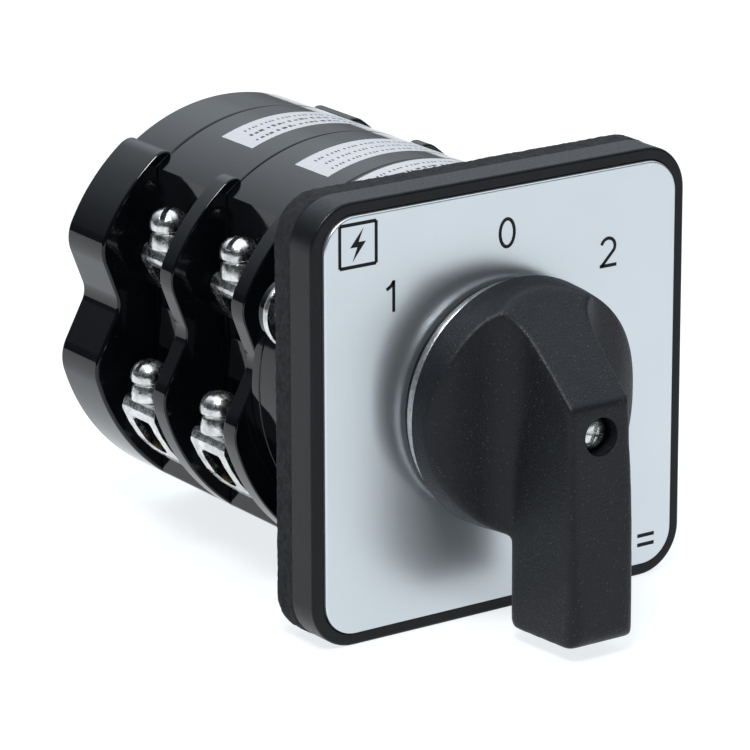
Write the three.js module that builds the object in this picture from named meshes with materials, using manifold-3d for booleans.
// Rotary cam changeover switch, 1-0-2, two contact stages, 64 mm square front plate.
// Millimetres. +Z up, the knob faces -Y, the body runs back along +Y.
// The origin is on the shaft's axis, in the plane of the gasket's back face, where the panel's front lies.

import * as THREE from 'three';
import { ConvexGeometry } from 'three/addons/geometries/ConvexGeometry.js';
import { mergeVertices } from 'three/addons/utils/BufferGeometryUtils.js';
import Module from 'manifold-3d';

const wasm = await Module();
wasm.setup();

// ---- driving dimensions -------------------------------------------------------------------------

const GAP = 0.3;                    // clearance between a turning or sliding piece and its neighbour

// places along the shaft
const PLATE_FRONT = -9.5;           // front face of the silver nameplate
const PLATE_BACK = -8.3;
const BEZEL_FRONT = -9.0;
const BEZEL_BACK = -3.8;
const PANEL = 0;                    // back face of the gasket
const LATCH_BACK = 14.3;            // back of the latch section
const STAGE_PITCH = 18.7;
const FLANGE = 3.3;                 // thickness of the divider at the front of each stage
const COVER_FRONT = LATCH_BACK + 2 * STAGE_PITCH;
const COVER_BACK = COVER_FRONT + 10.2;

// outlines across the shaft
const BEZEL_SIDE = 64;
const PLATE_SIDE = 60.2;
const BARREL_R = 29.05;             // top of the body
const LOBE_R = 30.45;               // flange lobes and bottom shell
const CORE_HALF = 18.3;             // half width of the core between the terminal pockets
const VALLEY = [-25.0, 2.6];        // where the flanks of the notch between two flange lobes would meet
const VALLEY_R = 3.5;
const UPPER_FLANK = [-2.1, 5.5];    // direction from the valley up to the upper lobe
const LOWER_FLANK = [-3.1, -5.8];   // direction from the valley down to the lower lobe
const LIP_R = { upper: 5.5, lower: 6.0 };   // rounding of the lobes where they turn into the notch
const TOP_HALF_ANGLE = 33;          // degrees: the flange has the barrel's radius within this of the top
const SHOULDER_ANGLE = 4.5;         // degrees: from there, the rounded shoulder that steps out to the lobe

// rotor
const SHAFT_SIDE = 6.4;
const SHAFT_BORE_R = 5.0;
const CAM_R = 7.6;
const CAM_THROW = 2.26;             // eccentricity, towards -Z in the 0 position

// moving contacts
const PLUNGER_X = [CAM_R + GAP, 13.5];
const STEM_R = 1.1;
const STEM_END = 18.5;
const BRIDGE_X = [13.6, 14.6];
const BRIDGE_HALF = 8.9;
const TIP_Z = 7.2;                  // height of the silver tips from the axis
const TIP_SIDE = 3.2;
const SPRING_X = [14.9, 20.4];
const BOSS_HALF = 3.1;              // half height of the boss that holds the return spring
const BOSS_END = [21.5, 20.9];      // its end face leans in a little, from its bottom to its top

// terminals: the screw's axis and the top of the clamp plate, on the left side
const TERMINALS = { upper: [21.3, 12.6], lower: [25.0, -9.8] };
const CLAMP_HALF = 4.4;             // half width along the shaft
const SHEET = 0.9;
const BAR = 1.2;
const BAR_DROP = 1.2;               // from the clamp's top face down to the bar's top face
const LEG_X = [9.4, 10.6];

// ---- materials ----------------------------------------------------------------------------------

const finish = (color, roughness, metalness) => ({ color, roughness, metalness });
const FINISH = {
  knob: finish(0x2b2c2e, 0.62, 0),
  bezel: finish(0x1b1c1e, 0.5, 0),
  gasket: finish(0x26272a, 0.95, 0),
  plate: finish(0xb9c4cf, 0.38, 0.75),
  collar: finish(0xc9cdd0, 0.3, 0.95),
  housing: finish(0x0c0d0f, 0.16, 0),
  cam: finish(0xd8d2c0, 0.5, 0),
  plunger: finish(0x8a2f24, 0.5, 0),
  steel: finish(0xc4c7c9, 0.28, 1),
  nickel: finish(0xcfd2d0, 0.22, 1),
  brass: finish(0xc79a4a, 0.3, 1),
  spring: finish(0x9a9da0, 0.3, 1),
};

// ---- solids -------------------------------------------------------------------------------------

// A closed geometry as a solid that can be joined and cut, with its faces pointing out
// whichever way its profile was drawn.
function solid(geometry) {
  const bare = geometry.clone();
  bare.deleteAttribute('normal');
  bare.deleteAttribute('uv');
  const merged = mergeVertices(bare, 1e-5);
  const corners = merged.index.array;
  const point = (i) => new THREE.Vector3().fromBufferAttribute(merged.attributes.position, i);
  const kept = [];
  let volume = 0;
  for (let i = 0; i < corners.length; i += 3) {
    const [a, b, c] = corners.slice(i, i + 3);
    if (a === b || b === c || c === a) continue;
    kept.push([a, b, c]);
    volume += point(a).dot(point(b).cross(point(c)));
  }
  const mesh = new wasm.Mesh({
    numProp: 3,
    vertProperties: new Float32Array(merged.attributes.position.array),
    triVerts: new Uint32Array(kept.flatMap(([a, b, c]) => (volume > 0 ? [a, b, c] : [a, c, b]))),
  });
  return new wasm.Manifold(mesh);
}

function geometryOf(body) {
  const { vertProperties, triVerts } = body.getMesh();
  const geometry = new THREE.BufferGeometry();
  geometry.setAttribute('position', new THREE.BufferAttribute(new Float32Array(vertProperties), 3));
  geometry.setIndex(Array.from(triVerts));
  return geometry;
}

const joined = (...bodies) => bodies.reduce((all, body) => all.add(body));
const cut = (body, ...tools) => tools.reduce((left, tool) => left.subtract(tool), body);

function block([x0, x1], [y0, y1], [z0, z1]) {
  const box = new THREE.BoxGeometry(x1 - x0, y1 - y0, z1 - z0);
  return solid(box.translate((x0 + x1) / 2, (y0 + y1) / 2, (z0 + z1) / 2));
}

// A block on the left (side -1) or right (side 1), whose X range is given as distances from the shaft.
function sideBlock(side, [near, far], yRange, zRange) {
  return block(side < 0 ? [-far, -near] : [near, far], yRange, zRange);
}

function rodY(r, [y0, y1], x = 0, z = 0, segments = 24) {
  return solid(new THREE.CylinderGeometry(r, r, y1 - y0, segments).translate(x, (y0 + y1) / 2, z));
}

function rodX(r, [x0, x1], y, z, segments = 16) {
  const rod = new THREE.CylinderGeometry(r, r, x1 - x0, segments).rotateZ(Math.PI / 2);
  return solid(rod.translate((x0 + x1) / 2, y, z));
}

function rodZ(r, [z0, z1], x, y, segments = 16) {
  const rod = new THREE.CylinderGeometry(r, r, z1 - z0, segments).rotateX(Math.PI / 2);
  return solid(rod.translate(x, y, (z0 + z1) / 2));
}

// An outline in X and Z, carried along the shaft from y0 to y1.
function slab(points, [y0, y1]) {
  const shape = new THREE.Shape(points.map(([x, z]) => new THREE.Vector2(x, z)));
  const geometry = new THREE.ExtrudeGeometry(shape, { depth: y1 - y0, bevelEnabled: false });
  return solid(geometry.rotateX(Math.PI / 2).translate(0, y1, 0));
}

// A profile of [radius, y] points turned round the shaft's axis.
function turned(profile, segments = 48) {
  return solid(new THREE.LatheGeometry(profile.map(([r, y]) => new THREE.Vector2(r, y)), segments));
}

// ---- outlines -----------------------------------------------------------------------------------

const radians = THREE.MathUtils.degToRad;

// Points on a circle about (cx, cz); angles in degrees, from +X towards +Z.
function arc(cx, cz, r, from, to, steps) {
  return Array.from({ length: steps + 1 }, (_, i) => {
    const a = radians(from + ((to - from) * i) / steps);
    return [cx + r * Math.cos(a), cz + r * Math.sin(a)];
  });
}

function roundedSquare(side, r, steps = 4) {
  const c = side / 2 - r;
  return [[c, c, 0], [-c, c, 90], [-c, -c, 180], [c, -c, 270]]
    .flatMap(([x, z, start]) => arc(x, z, r, start, start + 90, steps));
}

// The round lip where a straight flank from the valley meets the lobe's circle.
// Its centre is r inside the flank and r inside the circle.
function lip(flank, r, turn) {
  const length = Math.hypot(...flank);
  const d = flank.map((v) => v / length);
  const n = [turn * d[1], -turn * d[0]];
  const p = [VALLEY[0] + r * n[0], VALLEY[1] + r * n[1]];
  const along = p[0] * d[0] + p[1] * d[1];
  const t = -along + Math.sqrt(along ** 2 - (p[0] ** 2 + p[1] ** 2) + (LOBE_R - r) ** 2);
  return {
    centre: [p[0] + d[0] * t, p[1] + d[1] * t],
    flankAngle: THREE.MathUtils.radToDeg(Math.atan2(-n[1], -n[0])),
  };
}

const angleOf = ([x, z]) => (THREE.MathUtils.radToDeg(Math.atan2(z, x)) + 360) % 360;

// The rounded bottom of the notch, tangent to both flanks.
function valleyArc(steps) {
  const upper = angleOf(UPPER_FLANK) - 90;
  const lower = angleOf(LOWER_FLANK) - 270;
  const outward = radians((angleOf(UPPER_FLANK) + angleOf(LOWER_FLANK)) / 2);
  const away = VALLEY_R / Math.cos(radians((upper - lower) / 2));
  const centre = [VALLEY[0] + away * Math.cos(outward), VALLEY[1] + away * Math.sin(outward)];
  return arc(...centre, VALLEY_R, upper, lower, steps);
}

// The step from the barrel's radius out to the lobes', as a quarter of an ellipse.
function shoulder(steps) {
  return Array.from({ length: steps }, (_, i) => {
    const t = radians((90 * (i + 1)) / (steps + 1));
    const r = BARREL_R + (LOBE_R - BARREL_R) * Math.sin(t);
    const a = radians(90 + TOP_HALF_ANGLE + SHOULDER_ANGLE * (1 - Math.cos(t)));
    return [r * Math.cos(a), r * Math.sin(a)];
  });
}

// Left half of a flange, from the top down to the bottom: barrel, shoulder, upper lobe,
// notch with a rounded bottom, lower lobe, bottom shell.
function flangeHalf() {
  const top = 90 + TOP_HALF_ANGLE;
  const upper = lip(UPPER_FLANK, LIP_R.upper, 1);
  const lower = lip(LOWER_FLANK, LIP_R.lower, -1);
  const upperTurn = angleOf(upper.centre);
  const lowerTurn = angleOf(lower.centre);
  const upperEnd = (upper.flankAngle + 360) % 360;
  const lowerStart = (lower.flankAngle + 360) % 360;
  return [
    ...arc(0, 0, BARREL_R, 90, top, 6),
    ...shoulder(2),
    ...arc(0, 0, LOBE_R, top + SHOULDER_ANGLE, upperTurn, 5),
    ...arc(...upper.centre, LIP_R.upper, upperTurn, upperEnd, 4).slice(1),
    ...valleyArc(3),
    ...arc(...lower.centre, LIP_R.lower, lowerStart, lowerTurn, 4),
    ...arc(0, 0, LOBE_R, lowerTurn, 270, 10).slice(1),
  ];
}

function mirrored(half) {
  return [...half, ...half.slice(1, -1).reverse().map(([x, z]) => [-x, z])];
}

const FLANGE_OUTLINE = mirrored(flangeHalf());

// The core of a stage: the barrel above, the bottom shell below, flat sides between them.
function coreOutline() {
  const ledge = THREE.MathUtils.radToDeg(Math.asin(CORE_HALF / BARREL_R));
  const foot = THREE.MathUtils.radToDeg(Math.asin(CORE_HALF / LOBE_R));
  return mirrored([
    ...arc(0, 0, BARREL_R, 90, 90 + ledge, 6),
    ...arc(0, 0, LOBE_R, 270 - foot, 270, 5),
  ]);
}

// ---- the assembly -------------------------------------------------------------------------------

const assembly = new THREE.Group();

function add(name, body, look) {
  const mesh = new THREE.Mesh(geometryOf(body), new THREE.MeshStandardMaterial(FINISH[look]));
  mesh.name = name;
  assembly.add(mesh);
}

const SIDES = { left: -1, right: 1 };
const STAGES = ['a', 'b'].map((letter, i) => {
  const front = LATCH_BACK + i * STAGE_PITCH;
  return { letter, front, floor: front + FLANGE, back: front + STAGE_PITCH };
});
for (const stage of STAGES) stage.mid = (stage.floor + stage.back) / 2;

const around = (middle, half) => [middle - half, middle + half];

// ---- front plate --------------------------------------------------------------------------------

const KNOB_WELL_R = 8;              // the hole in the front plate that the shaft and knob hub pass
const FRONT_SCREWS = 24;            // half the spacing of the front plate's own fixing holes
const FRONT_SCREW_R = 2.2;
const GASKET_WINDOW_R = 20;

function nameplate() {
  const chamfer = 0.35;
  const body = slab(roundedSquare(PLATE_SIDE - 2 * chamfer, 4.6), [PLATE_FRONT, PLATE_BACK]);
  const skirt = slab(roundedSquare(PLATE_SIDE, 5), [PLATE_FRONT + chamfer, PLATE_BACK]);
  return cut(joined(body, skirt), rodY(KNOB_WELL_R, [PLATE_FRONT - 1, PLATE_BACK + 1], 0, 0, 24));
}

// The bezel frames the plate, which sits in a recess; the outer front edge steps back as a rounding.
function bezel() {
  const layers = [[0, 0.45], [0.2, 0.15], [0.6, 0]].map(([back, inset]) =>
    slab(roundedSquare(BEZEL_SIDE - 2 * inset, 6.8 - inset), [BEZEL_FRONT + back, BEZEL_BACK]));
  const recess = slab(roundedSquare(PLATE_SIDE, 5), [BEZEL_FRONT - 1, PLATE_BACK]);
  const well = rodY(KNOB_WELL_R, [BEZEL_FRONT - 1, BEZEL_BACK + 1], 0, 0, 24);
  const holes = [[-1, -1], [-1, 1], [1, -1], [1, 1]].map(([x, z]) =>
    rodY(FRONT_SCREW_R, [BEZEL_FRONT - 1, BEZEL_BACK + 1], x * FRONT_SCREWS, z * FRONT_SCREWS, 8));
  return cut(joined(...layers), recess, well, ...holes);
}

function gasket() {
  const window = rodY(GASKET_WINDOW_R, [BEZEL_BACK - 1, PANEL + 1], 0, 0, 32);
  return cut(slab(roundedSquare(BEZEL_SIDE, 6.5), [BEZEL_BACK, PANEL]), window);
}

const COLLAR_FRONT = PLATE_FRONT - 3.2;
const COLLAR_R = 17.2;
const COLLAR_INNER_R = 14.6;

function dialCollar() {
  const edge = 0.3;
  return turned([
    [COLLAR_INNER_R, PLATE_FRONT], [COLLAR_R, PLATE_FRONT], [COLLAR_R, COLLAR_FRONT + edge],
    [COLLAR_R - edge, COLLAR_FRONT], [COLLAR_INNER_R, COLLAR_FRONT], [COLLAR_INNER_R, PLATE_FRONT],
  ], 44);
}

// ---- knob ---------------------------------------------------------------------------------------

const KNOB_FRONT = PLATE_FRONT - 24.1;
const SKIRT_BACK = COLLAR_FRONT - GAP;
const SKIRT_FRONT = PLATE_FRONT - 8.2;
const TAIL_BACK = PLATE_FRONT - 9.6;
const TAIL_END = -30;
const SOCKET_FRONT = PLATE_FRONT - 14;   // end of the square socket that takes the shaft
const SCREW_WELL_FLOOR = PLATE_FRONT - 18.9;
const SCREW_WELL_R = 2.6;
const SKIRT_R = [18.2, 17.8, 17.4];      // at its back, where the hollows start, and at the knob's front
const HOLLOW_R = [7.35, 16.2];           // the space under the skirt
const TAIL_HALF = [4.9, 5.8];            // half width of the tail at its front and at its back

// Half width of the knob's waist, front to back: the lever's drafted sides, then hollows for the
// fingers that run out to the rounded rim of the skirt. [distance in front of the plate, half width]
const WAIST = [
  [26, 4.8], [22.5, 5.1], [16, 5.3], [13, 5.6], [11.4, 6.2], [10.2, 7.2], [9.3, 8.8], [8.8, 11],
  [8.4, 13.6], [7.8, 15.8], [7.0, 17.4], [6.0, 18.6], [3, 18.6],
];
// Straight cuts across the lever's front, as [height, distance in front of the plate]:
// the long face, which leans back a little towards the top, and the sloping nose above it.
const FACE = [[-30, 24.1], [4.5, 22.5]];
const NOSE = [[4.5, 22.5], [16.2, 9.5]];

// An outline in X and Y carried along Z.
function column(points, [z0, z1]) {
  const shape = new THREE.Shape(points.map(([x, y]) => new THREE.Vector2(x, y)));
  const geometry = new THREE.ExtrudeGeometry(shape, { depth: z1 - z0, bevelEnabled: false });
  return solid(geometry.translate(0, 0, z0));
}

// Everything in front of a straight line through two [height, distance in front of the plate] points.
function inFrontOf([[lowZ, lowFront], [highZ, highFront]]) {
  const slope = (highFront - lowFront) / (highZ - lowZ);
  const past = 60;
  const wedge = new THREE.Shape([
    new THREE.Vector2(lowZ - past, PLATE_FRONT - (lowFront - slope * past)),
    new THREE.Vector2(lowZ + past, PLATE_FRONT - (lowFront + slope * past)),
    new THREE.Vector2(lowZ + past, KNOB_FRONT - 3 * past),
    new THREE.Vector2(lowZ - past, KNOB_FRONT - 3 * past),
  ]);
  return solid(new THREE.ExtrudeGeometry(wedge, { depth: 40, bevelEnabled: false })
    .applyMatrix4(new THREE.Matrix4().set(0, 0, 1, -20, 0, 1, 0, 0, 1, 0, 0, 0, 0, 0, 0, 1)));
}

// Round head: the skirt's cylinder at full depth, narrowed to the waist, its front cut by the nose.
function knobHead() {
  const round = turned([
    [0, SKIRT_BACK], [SKIRT_R[0], SKIRT_BACK], [SKIRT_R[1], SKIRT_FRONT], [SKIRT_R[2], KNOB_FRONT],
    [0, KNOB_FRONT],
  ], 48);
  const left = WAIST.map(([front, half]) => [-half, PLATE_FRONT - front]);
  const waist = column([...left, ...left.map(([x, y]) => [-x, y]).reverse()], [-20, 20]);
  return cut(round.intersect(waist), inFrontOf(NOSE));
}

// Lever's tail, drafted from its back to its front.
function knobTail() {
  const [front, back] = TAIL_HALF;
  const edge = 0.8;
  const points = [-1, 1].flatMap((side) => [
    [side * front, KNOB_FRONT, 4.6], [side * front, KNOB_FRONT, TAIL_END + edge],
    [side * (front + 0.1), KNOB_FRONT + edge, TAIL_END], [side * (back - 0.2), TAIL_BACK - 0.6, TAIL_END],
    [side * back, TAIL_BACK, TAIL_END + edge], [side * back, TAIL_BACK, 0],
  ]);
  return solid(new ConvexGeometry(points.map((p) => new THREE.Vector3(...p))));
}

function knob() {
  const [inner, outer] = HOLLOW_R;
  const roof = SKIRT_FRONT + 1.6;
  const hollow = turned([
    [inner, SKIRT_BACK + 1], [outer, SKIRT_BACK + 1], [outer, roof], [inner, roof], [inner, SKIRT_BACK + 1],
  ], 28);
  const half = SHAFT_SIDE / 2 + GAP;
  const socket = block([-half, half], [SOCKET_FRONT, SKIRT_BACK + 1], [-half, half]);
  const well = rodY(SCREW_WELL_R, [KNOB_FRONT - 1, SCREW_WELL_FLOOR], 0, 0, 20);
  const screwHole = rodY(1.7, [SCREW_WELL_FLOOR - 1, SOCKET_FRONT + 1], 0, 0, 12);
  return cut(joined(knobHead(), knobTail()), inFrontOf(FACE), hollow, socket, well, screwHole);
}

const KNOB_SCREW_R = 1.4;
const KNOB_SCREW_HEAD_R = 2.35;

function knobScrew() {
  const seat = SCREW_WELL_FLOOR - GAP;
  const front = seat - 1.9;
  const head = rodY(KNOB_SCREW_HEAD_R, [front, seat], 0, 0, 20);
  const shank = rodY(KNOB_SCREW_R, [seat - 0.5, SOCKET_FRONT + 7], 0, 0, 12);
  const [long, short, depth] = [1.5, 0.35, 0.8];
  const recess = [front - 1, front + depth];
  return cut(joined(head, shank), block([-long, long], recess, [-short, short]),
    block([-short, short], recess, [-long, long]));
}

// ---- rotor --------------------------------------------------------------------------------------

const SHAFT_FRONT = SOCKET_FRONT + GAP;
const SHAFT_BACK = COVER_FRONT + 4;

function shaft() {
  const half = SHAFT_SIDE / 2;
  const bar = block([-half, half], [SHAFT_FRONT, SHAFT_BACK], [-half, half]);
  return cut(bar, rodY(KNOB_SCREW_R + GAP, [SHAFT_FRONT - 1, SHAFT_FRONT + 9], 0, 0, 16));
}

function squareBore(yRange) {
  const half = SHAFT_SIDE / 2 + GAP;
  return block([-half, half], yRange, [-half, half]);
}

function cam(stage) {
  const disc = rodY(CAM_R, around(stage.mid, 4), 0, -CAM_THROW, 28);
  const hub = rodY(5.9, [stage.floor + 0.5, stage.back - 0.5], 0, 0, 20);
  return cut(joined(disc, hub), squareBore([stage.floor - 1, stage.back + 1]));
}

// ---- latch section ------------------------------------------------------------------------------

const LATCH_Y = [3, 8.6];           // the wheel and the sliders share this layer
const WHEEL_R = 11;
const NOTCHES = 8;
const NOTCH_DEPTH = 1.5;
const SLIDER_NOSE_R = 2.0;
const SLIDER_X = [WHEEL_R + GAP, 17.8];
const SLIDER_HALF = 3.0;
const LATCH_SPRING_X = [18.1, 24.2];
const LATCH_R = 26.6;
const HOUSING_BACK = 12.3;
const STOP_Y = [9.2, 11.8];

// The wheel's edge dips by a cosine to a notch every 45 degrees, so the rollers rest at 1, 0 and 2.
function latchWheel() {
  const steps = NOTCHES * 6;
  const edge = Array.from({ length: steps }, (_, i) => {
    const a = (2 * Math.PI * i) / steps;
    const r = WHEEL_R - NOTCH_DEPTH * (0.5 + 0.5 * Math.cos(NOTCHES * a));
    return [r * Math.cos(a), r * Math.sin(a)];
  });
  const hub = rodY(7, [2.2, STOP_Y[1]], 0, 0, 24);
  const stopLug = block([-1.8, 1.8], STOP_Y, [5, 14.2]);
  return cut(joined(slab(edge, LATCH_Y), hub, stopLug), squareBore([0, 20]));
}

function latchSlider(side) {
  const middle = (LATCH_Y[0] + LATCH_Y[1]) / 2;
  const nose = rodY(SLIDER_NOSE_R, LATCH_Y, side * (SLIDER_X[0] + SLIDER_NOSE_R), 0, 20);
  const body = sideBlock(side, [SLIDER_X[0] + SLIDER_NOSE_R, 16], LATCH_Y, [-SLIDER_HALF, SLIDER_HALF]);
  const neck = sideBlock(side, [SLIDER_X[0] + 1, 14], around(middle, 2.2), [-1.6, 1.6]);
  const seat = sideBlock(side, [16, SLIDER_X[1]], around(middle, 2.4), [-2.4, 2.4]);
  return joined(nose, body, neck, seat);
}

// A compression spring along X with its end coils closed up, from near to far on one side.
function spring(side, [near, far], y, coilR, wireR, turns) {
  class Helix extends THREE.Curve {
    getPoint(t, target = new THREE.Vector3()) {
      const closed = Math.min(1, Math.max(0, (t - 0.12) / 0.76));
      const x = near + wireR + (far - near - 2 * wireR) * (0.08 * t + 0.92 * closed);
      const a = 2 * Math.PI * turns * t;
      return target.set(side * x, y + coilR * Math.cos(a), coilR * Math.sin(a));
    }
  }
  const section = new THREE.Shape(arc(0, 0, wireR, 0, 288, 4).map(([a, b]) => new THREE.Vector2(a, b)));
  const steps = turns * 8;
  return solid(new THREE.ExtrudeGeometry(section, { steps, extrudePath: new Helix(), bevelEnabled: false }));
}

const FIXING = [24.4, 12.6];        // the fixing screws, upper left and lower right
const EAR_Y = [6.6, 8.2];
const EAR_R = 4.9;
const FIXINGS = { upper: -1, lower: 1 };

function latchHousing() {
  const y = [PANEL, HOUSING_BACK];
  const round = rodY(LATCH_R, y, 0, 0, 48);
  const ledge = THREE.MathUtils.radToDeg(Math.asin(CORE_HALF / BARREL_R));
  const crown = slab([...arc(0, 0, BARREL_R, 90 - ledge, 90 + ledge, 10), [0, 0]], y);
  const keel = slab([...arc(0, 0, BARREL_R, 270 - ledge, 270 + ledge, 10), [0, 0]], y);
  const ears = Object.values(FIXINGS).map((side) =>
    rodY(EAR_R, EAR_Y, side * FIXING[0], -side * FIXING[1], 20));
  const pockets = Object.values(FIXINGS).map((side) =>
    rodY(6.2, [PANEL - 1, EAR_Y[0]], side * FIXING[0], -side * FIXING[1], 20));
  const holes = Object.values(FIXINGS).map((side) =>
    rodY(1.9, [PANEL - 1, HOUSING_BACK + 1], side * FIXING[0], -side * FIXING[1], 10));
  const chamber = rodY(15.2, [2, HOUSING_BACK + 1], 0, 0, 32);
  const channels = [-1, 1].map((side) =>
    sideBlock(side, [10, LATCH_SPRING_X[1] + 0.2], [2, HOUSING_BACK + 1],
      [-SLIDER_HALF - GAP, SLIDER_HALF + GAP]));
  const bore = rodY(7.4, [PANEL - 1, 3], 0, 0, 24);
  return cut(joined(round, crown, keel, ...ears), ...pockets, ...holes, chamber, ...channels, bore,
    ...tieHoles([PANEL + 2.4, HOUSING_BACK + 1]));
}

// The cover closes the latch section and carries the two stops for the wheel's lug.
function latchCover() {
  const plate = rodY(LATCH_R, [HOUSING_BACK, LATCH_BACK], 0, 0, 48);
  const ledge = THREE.MathUtils.radToDeg(Math.asin(CORE_HALF / BARREL_R));
  const crowns = [90, 270].map((middle) =>
    slab([...arc(0, 0, BARREL_R, middle - ledge, middle + ledge, 10), [0, 0]], [HOUSING_BACK, LATCH_BACK]));
  const stops = [-1, 1].map((side) =>
    slab([[side * 11.2, 5.6], [side * 13.6, 5.6], [side * 12.4, 8], [side * 11.2, 8]],
      [STOP_Y[0] + 0.2, HOUSING_BACK + 0.5]));
  return cut(joined(plate, ...crowns, ...stops), rodY(SHAFT_BORE_R, [0, 20], 0, 0, 24),
    ...tieHoles([HOUSING_BACK - 1, LATCH_BACK + 1]));
}

function fixingScrew(side) {
  const [x, z] = [side * FIXING[0], -side * FIXING[1]];
  const washer = rodY(5.3, [EAR_Y[0] - 1.0, EAR_Y[0]], x, z, 20);
  const head = rodY(3.6, [EAR_Y[0] - 3.2, EAR_Y[0] - 0.5], x, z, 14);
  const shank = rodY(1.6, [EAR_Y[0] - 1, EAR_Y[1] + 1.4], x, z, 12);
  const slot = block(around(x, 4), [EAR_Y[0] - 4, EAR_Y[0] - 2.3], around(z, 0.5));
  return cut(joined(washer, head, shank), slot);
}

// ---- tie bolts ----------------------------------------------------------------------------------

const TIE_Z = 23.4;
const TIE_R = 1.6;
const NUT_DEPTH = 3.4;

function tieHoles(yRange) {
  return [-1, 1].map((end) => rodY(TIE_R + 0.2, yRange, 0, end * TIE_Z, 10));
}

function tieBolt(end) {
  const head = rodY(3.1, [COVER_BACK - 2.6, COVER_BACK - 0.4], 0, end * TIE_Z, 6);
  return joined(rodY(TIE_R, [PANEL + 2.7, COVER_BACK - 1], 0, end * TIE_Z, 10), head);
}

// ---- contact stages -----------------------------------------------------------------------------

const CAVITY = { x: 16.8, z: 17.4 };
const barTop = (level) => TERMINALS[level][1] - BAR_DROP;

// Tray: flange in front, core behind it with its cavity open to the rear.
function stageHousing(stage) {
  const flange = slab(FLANGE_OUTLINE, [stage.front, stage.floor]);
  const core = slab(coreOutline(), [stage.front, stage.back]);
  const boss = [-1, 1].map((side) => slab([
    [side * (CORE_HALF - 1), -BOSS_HALF], [side * BOSS_END[0], -BOSS_HALF],
    [side * BOSS_END[1], BOSS_HALF], [side * (CORE_HALF - 1), BOSS_HALF],
  ], around(stage.mid, BOSS_HALF)));
  const cavity = block([-CAVITY.x, CAVITY.x], [stage.floor, stage.back + 1], [-CAVITY.z, CAVITY.z]);
  const bores = [-1, 1].map((side) => {
    const ends = [CAVITY.x - 1, SPRING_X[1] + 0.2].map((x) => side * x).sort((a, b) => a - b);
    return rodX(2.35, ends, stage.mid, 0, 12);
  });
  const slots = [-1, 1].flatMap((side) => Object.keys(TERMINALS).map((level) =>
    sideBlock(side, [CAVITY.x - 1, CORE_HALF + 1], [stage.mid - 4.3, stage.back + 1],
      [barTop(level) - BAR - GAP, barTop(level) + GAP])));
  return cut(joined(flange, core, ...boss), cavity, ...bores, ...slots,
    rodY(SHAFT_BORE_R, [stage.front - 1, stage.floor + 1], 0, 0, 24),
    ...tieHoles([stage.front - 1, stage.back + 1]));
}

function plunger(stage, side) {
  const shoulder = sideBlock(side, PLUNGER_X, around(stage.mid, 3.2), [-3.4, 3.4]);
  const ends = [PLUNGER_X[1] - 1, STEM_END].map((x) => side * x).sort((a, b) => a - b);
  return joined(shoulder, rodX(STEM_R, ends, stage.mid, 0, 12));
}

function contactTip(side, xRange, y, z) {
  return sideBlock(side, xRange, around(y, TIP_SIDE / 2), around(z, TIP_SIDE / 2));
}

function bridge(stage, side) {
  const strip = sideBlock(side, BRIDGE_X, around(stage.mid, 3.4), [-BRIDGE_HALF, BRIDGE_HALF]);
  const tips = [-1, 1].map((end) =>
    contactTip(side, [BRIDGE_X[0] - 0.6, BRIDGE_X[0] + 0.1], stage.mid, end * TIP_Z));
  const hole = rodX(STEM_R + 0.2, [BRIDGE_X[0] - 2, BRIDGE_X[1] + 2].map((x) => side * x)
    .sort((a, b) => a - b), stage.mid, 0, 16);
  return cut(joined(strip, ...tips), hole);
}

// Bar from the terminal through the wall, bent to a leg with a silver tip; the outer end is a fork
// that straddles the terminal screw.
function fixedContact(stage, side, level) {
  const up = level === 'upper' ? 1 : -1;
  const [screwX] = TERMINALS[level];
  const z = [barTop(level) - BAR, barTop(level)];
  const legEnd = up * (TIP_Z - TIP_SIDE / 2 - 0.2);
  const bar = sideBlock(side, [LEG_X[0], screwX + 0.6], around(stage.mid, 4), z);
  const leg = sideBlock(side, LEG_X, around(stage.mid, 3.4), up > 0 ? [legEnd, z[1]] : [z[0], legEnd]);
  const tip = contactTip(side, [LEG_X[1] - 0.1, LEG_X[1] + 0.6], stage.mid, up * TIP_Z);
  const fork = sideBlock(side, [screwX - 1.6, screwX + 2], around(stage.mid, 1.5), [z[0] - 1, z[1] + 1]);
  return cut(joined(bar, leg, tip), fork);
}

// Cage clamp bent from sheet: top plate with the screw hole, short front face, then a slanting
// strap with a wire window. `reach` is how far down the strap goes.
function clamp(stage, side, level) {
  const [screwX, top] = TERMINALS[level];
  const strap = [[1.3, 0], [2.15, -1.9], [0.85, -4.6], [-0.7, -7.0]];
  if (level === 'lower') strap.push([-2.7, -9.2], [-4.7, -10.8]);
  else strap.push([-1.3, -7.9]);
  const outer = [[-2.4, 0], ...strap];
  const inner = [];
  for (let i = outer.length - 1; i >= 0; i -= 1) {
    const before = outer[Math.max(i - 1, 0)];
    const after = outer[Math.min(i + 1, outer.length - 1)];
    const along = [after[0] - before[0], after[1] - before[1]];
    const size = Math.hypot(...along);
    inner.push([outer[i][0] + (SHEET * along[1]) / size, outer[i][1] - (SHEET * along[0]) / size]);
  }
  const outline = [...outer, ...inner].map(([u, w]) => [side * (screwX + u), top + w]);
  const width = around(stage.mid, CLAMP_HALF);
  const windowEnd = level === 'lower' ? -8.3 : -7.1;
  const window = sideBlock(side, [screwX - 6, screwX + 3], around(stage.mid, 2.7),
    [top + windowEnd, top - 2.9]);
  const waist = [-1, 1].map((end) => sideBlock(side, [screwX - 3, screwX + 0.9],
    around(stage.mid + end * CLAMP_HALF, 0.7), [top - 0.4, top + 0.5]));
  const screwHole = rodZ(1.5, [top - 3.1, top + 1], side * screwX, stage.mid);
  return cut(slab(outline, width), window, ...waist, screwHole);
}

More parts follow.
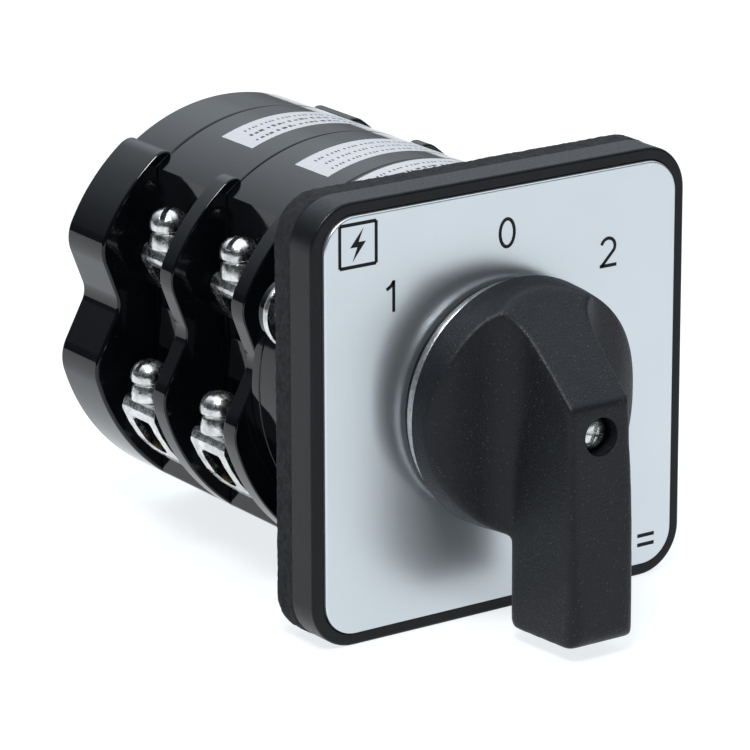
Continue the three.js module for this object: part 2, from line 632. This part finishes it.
function terminalScrew(stage, side, level) {
  const [screwX, top] = TERMINALS[level];
  const x = side * screwX;
  const profile = [
    [0, -3.0], [1.2, -3.0], [1.2, 0.0], [2.3, 0.0], [2.3, 2.9], [2.8, 3.1], [2.8, 4.5],
    [1.7, 5.7], [0, 6.0],
  ];
  const body = solid(new THREE.LatheGeometry(profile.map(([r, z]) => new THREE.Vector2(r, z)), 12)
    .rotateX(Math.PI / 2).translate(x, stage.mid, top));
  const slot = block(around(x, 3.2), around(stage.mid, 0.4), [top + 4.7, top + 7]);
  return cut(body, slot);
}

// ---- rear cover ---------------------------------------------------------------------------------

function rearCover() {
  const cap = slab(FLANGE_OUTLINE, [COVER_FRONT, COVER_BACK]);
  const bearing = rodY(SHAFT_BORE_R, [COVER_FRONT - 1, SHAFT_BACK + 0.6], 0, 0, 24);
  const nuts = [-1, 1].map((end) =>
    rodY(4.2, [COVER_BACK - NUT_DEPTH, COVER_BACK + 1], 0, end * TIE_Z, 16));
  return cut(cap, bearing, ...nuts, ...tieHoles([COVER_FRONT - 1, COVER_BACK + 1]));
}

// ---- build --------------------------------------------------------------------------------------

add('knob', knob(), 'knob');
add('knob_screw', knobScrew(), 'steel');
add('dial_collar', dialCollar(), 'collar');
add('nameplate', nameplate(), 'plate');
add('bezel', bezel(), 'bezel');
add('panel_gasket', gasket(), 'gasket');
add('shaft', shaft(), 'steel');
add('latch_housing', latchHousing(), 'housing');
add('latch_cover', latchCover(), 'housing');
add('latch_wheel', latchWheel(), 'cam');
for (const [place, side] of Object.entries(SIDES)) {
  add(`latch_slider_${place}`, latchSlider(side), 'plunger');
  add(`latch_spring_${place}`, spring(side, LATCH_SPRING_X, (LATCH_Y[0] + LATCH_Y[1]) / 2, 2.0, 0.3, 5),
    'spring');
}
for (const [place, side] of Object.entries(FIXINGS)) {
  add(`fixing_screw_${place}`, fixingScrew(side), 'nickel');
}
for (const stage of STAGES) {
  const at = `stage_${stage.letter}`;
  add(`${at}_housing`, stageHousing(stage), 'housing');
  add(`${at}_cam`, cam(stage), 'cam');
  for (const [place, side] of Object.entries(SIDES)) {
    add(`${at}_plunger_${place}`, plunger(stage, side), 'plunger');
    add(`${at}_bridge_${place}`, bridge(stage, side), 'brass');
    add(`${at}_return_spring_${place}`, spring(side, SPRING_X, stage.mid, 1.7, 0.3, 5), 'spring');
    for (const level of Object.keys(TERMINALS)) {
      add(`${at}_contact_${place}_${level}`, fixedContact(stage, side, level), 'brass');
      add(`${at}_clamp_${place}_${level}`, clamp(stage, side, level), 'nickel');
      add(`${at}_screw_${place}_${level}`, terminalScrew(stage, side, level), 'nickel');
    }
  }
}
add('rear_cover', rearCover(), 'housing');
for (const [place, end] of Object.entries({ upper: 1, lower: -1 })) {
  add(`tie_bolt_${place}`, tieBolt(end), 'steel');
}

export default assembly;
